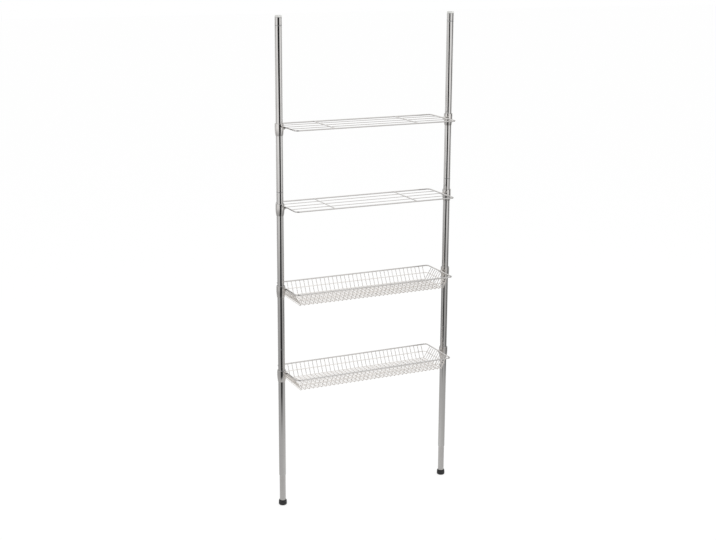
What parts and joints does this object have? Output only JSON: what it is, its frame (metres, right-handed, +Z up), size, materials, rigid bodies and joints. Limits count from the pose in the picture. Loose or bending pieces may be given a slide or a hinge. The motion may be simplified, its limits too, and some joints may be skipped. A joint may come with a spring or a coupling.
{
  "type": "tension pole shelf unit",
  "caption": "Floor-to-ceiling tension pole rack: sprung telescoping chrome poles carry sliding flat wire shelves and wire mesh baskets held by tapered collars.",
  "frame": {"origin": "on the floor, midway between the two poles", "axes": "+Z up along the poles, +X along the shelves from the left pole to the right pole, front towards -Y"},
  "size_m": [0.712, 0.2, 1.825],
  "materials": {
    "chrome": "bright chrome plate",
    "chrome_wire": "chrome plated wire",
    "satin_chrome": "satin plated tube, duller than the poles",
    "steel": "zinc plated",
    "rubber": "matt black",
    "pale_rubber": "matt, pale grey",
    "white_nylon": "moulded",
    "grey_nylon": "moulded"
  },
  "bodies": {
    "poles": {"left_tension_spring": "steel", "left_spring_stop": "white_nylon", "left_lower_tube": "chrome", "left_lower_joiner": "steel", "left_middle_tube": "chrome", "left_upper_joiner": "steel", "left_upper_tube": "chrome", "left_mouth_bush": "steel", "right_tension_spring": "steel", "right_spring_stop": "white_nylon", "right_lower_tube": "chrome", "right_lower_joiner": "steel", "right_middle_tube": "chrome", "right_upper_joiner": "steel", "right_upper_tube": "chrome", "right_mouth_bush": "steel"},
    "left_foot": {"left_foot_pad": "rubber", "left_foot_tube": "satin_chrome", "left_foot_plug": "white_nylon"},
    "right_foot": {"right_foot_pad": "rubber", "right_foot_tube": "satin_chrome", "right_foot_plug": "white_nylon"},
    "left_extension": {"left_extension_tube": "satin_chrome", "left_lock_plug": "grey_nylon", "left_crown": "chrome", "left_ceiling_pad": "pale_rubber"},
    "right_extension": {"right_extension_tube": "satin_chrome", "right_lock_plug": "grey_nylon", "right_crown": "chrome", "right_ceiling_pad": "pale_rubber"},
    "top_shelf": {"top_shelf_grille": "chrome_wire", "top_shelf_left_collar": "chrome", "top_shelf_left_sleeve": "grey_nylon", "top_shelf_right_collar": "chrome", "top_shelf_right_sleeve": "grey_nylon"},
    "upper_shelf": {"upper_shelf_grille": "chrome_wire", "upper_shelf_left_collar": "chrome", "upper_shelf_left_sleeve": "grey_nylon", "upper_shelf_right_collar": "chrome", "upper_shelf_right_sleeve": "grey_nylon"},
    "upper_basket": {"upper_basket_hoops": "chrome_wire", "upper_basket_runners": "chrome_wire", "upper_basket_left_collar": "chrome", "upper_basket_left_sleeve": "grey_nylon", "upper_basket_right_collar": "chrome", "upper_basket_right_sleeve": "grey_nylon"},
    "lower_basket": {"lower_basket_hoops": "chrome_wire", "lower_basket_runners": "chrome_wire", "lower_basket_left_collar": "chrome", "lower_basket_left_sleeve": "grey_nylon", "lower_basket_right_collar": "chrome", "lower_basket_right_sleeve": "grey_nylon"}
  },
  "joints": [
    {"name": "top_shelf_slide", "type": "slide", "parent": "poles", "child": "top_shelf", "axis": [0, 0, 1], "range_m": [-0.1, 0.3]},
    {"name": "upper_shelf_slide", "type": "slide", "parent": "poles", "child": "upper_shelf", "axis": [0, 0, 1], "range_m": [-0.1, 0.12]},
    {"name": "upper_basket_slide", "type": "slide", "parent": "poles", "child": "upper_basket", "axis": [0, 0, 1], "range_m": [-0.1, 0.13]},
    {"name": "lower_basket_slide", "type": "slide", "parent": "poles", "child": "lower_basket", "axis": [0, 0, 1], "range_m": [-0.3, 0.12]},
    {"name": "left_extension_slide", "type": "slide", "parent": "poles", "child": "left_extension", "axis": [0, 0, 1], "range_m": [0, 0.45]},
    {"name": "right_extension_slide", "type": "slide", "parent": "poles", "child": "right_extension", "axis": [0, 0, 1], "range_m": [0, 0.45]},
    {"name": "left_foot_press", "type": "slide", "parent": "poles", "child": "left_foot", "axis": [0, 0, 1], "range_m": [0, 0.06], "stiffness_N_per_m": 3000, "deforming": ["left_tension_spring"]},
    {"name": "right_foot_press", "type": "slide", "parent": "poles", "child": "right_foot", "axis": [0, 0, 1], "range_m": [0, 0.06], "stiffness_N_per_m": 3000, "deforming": ["right_tension_spring"]}
  ]
}
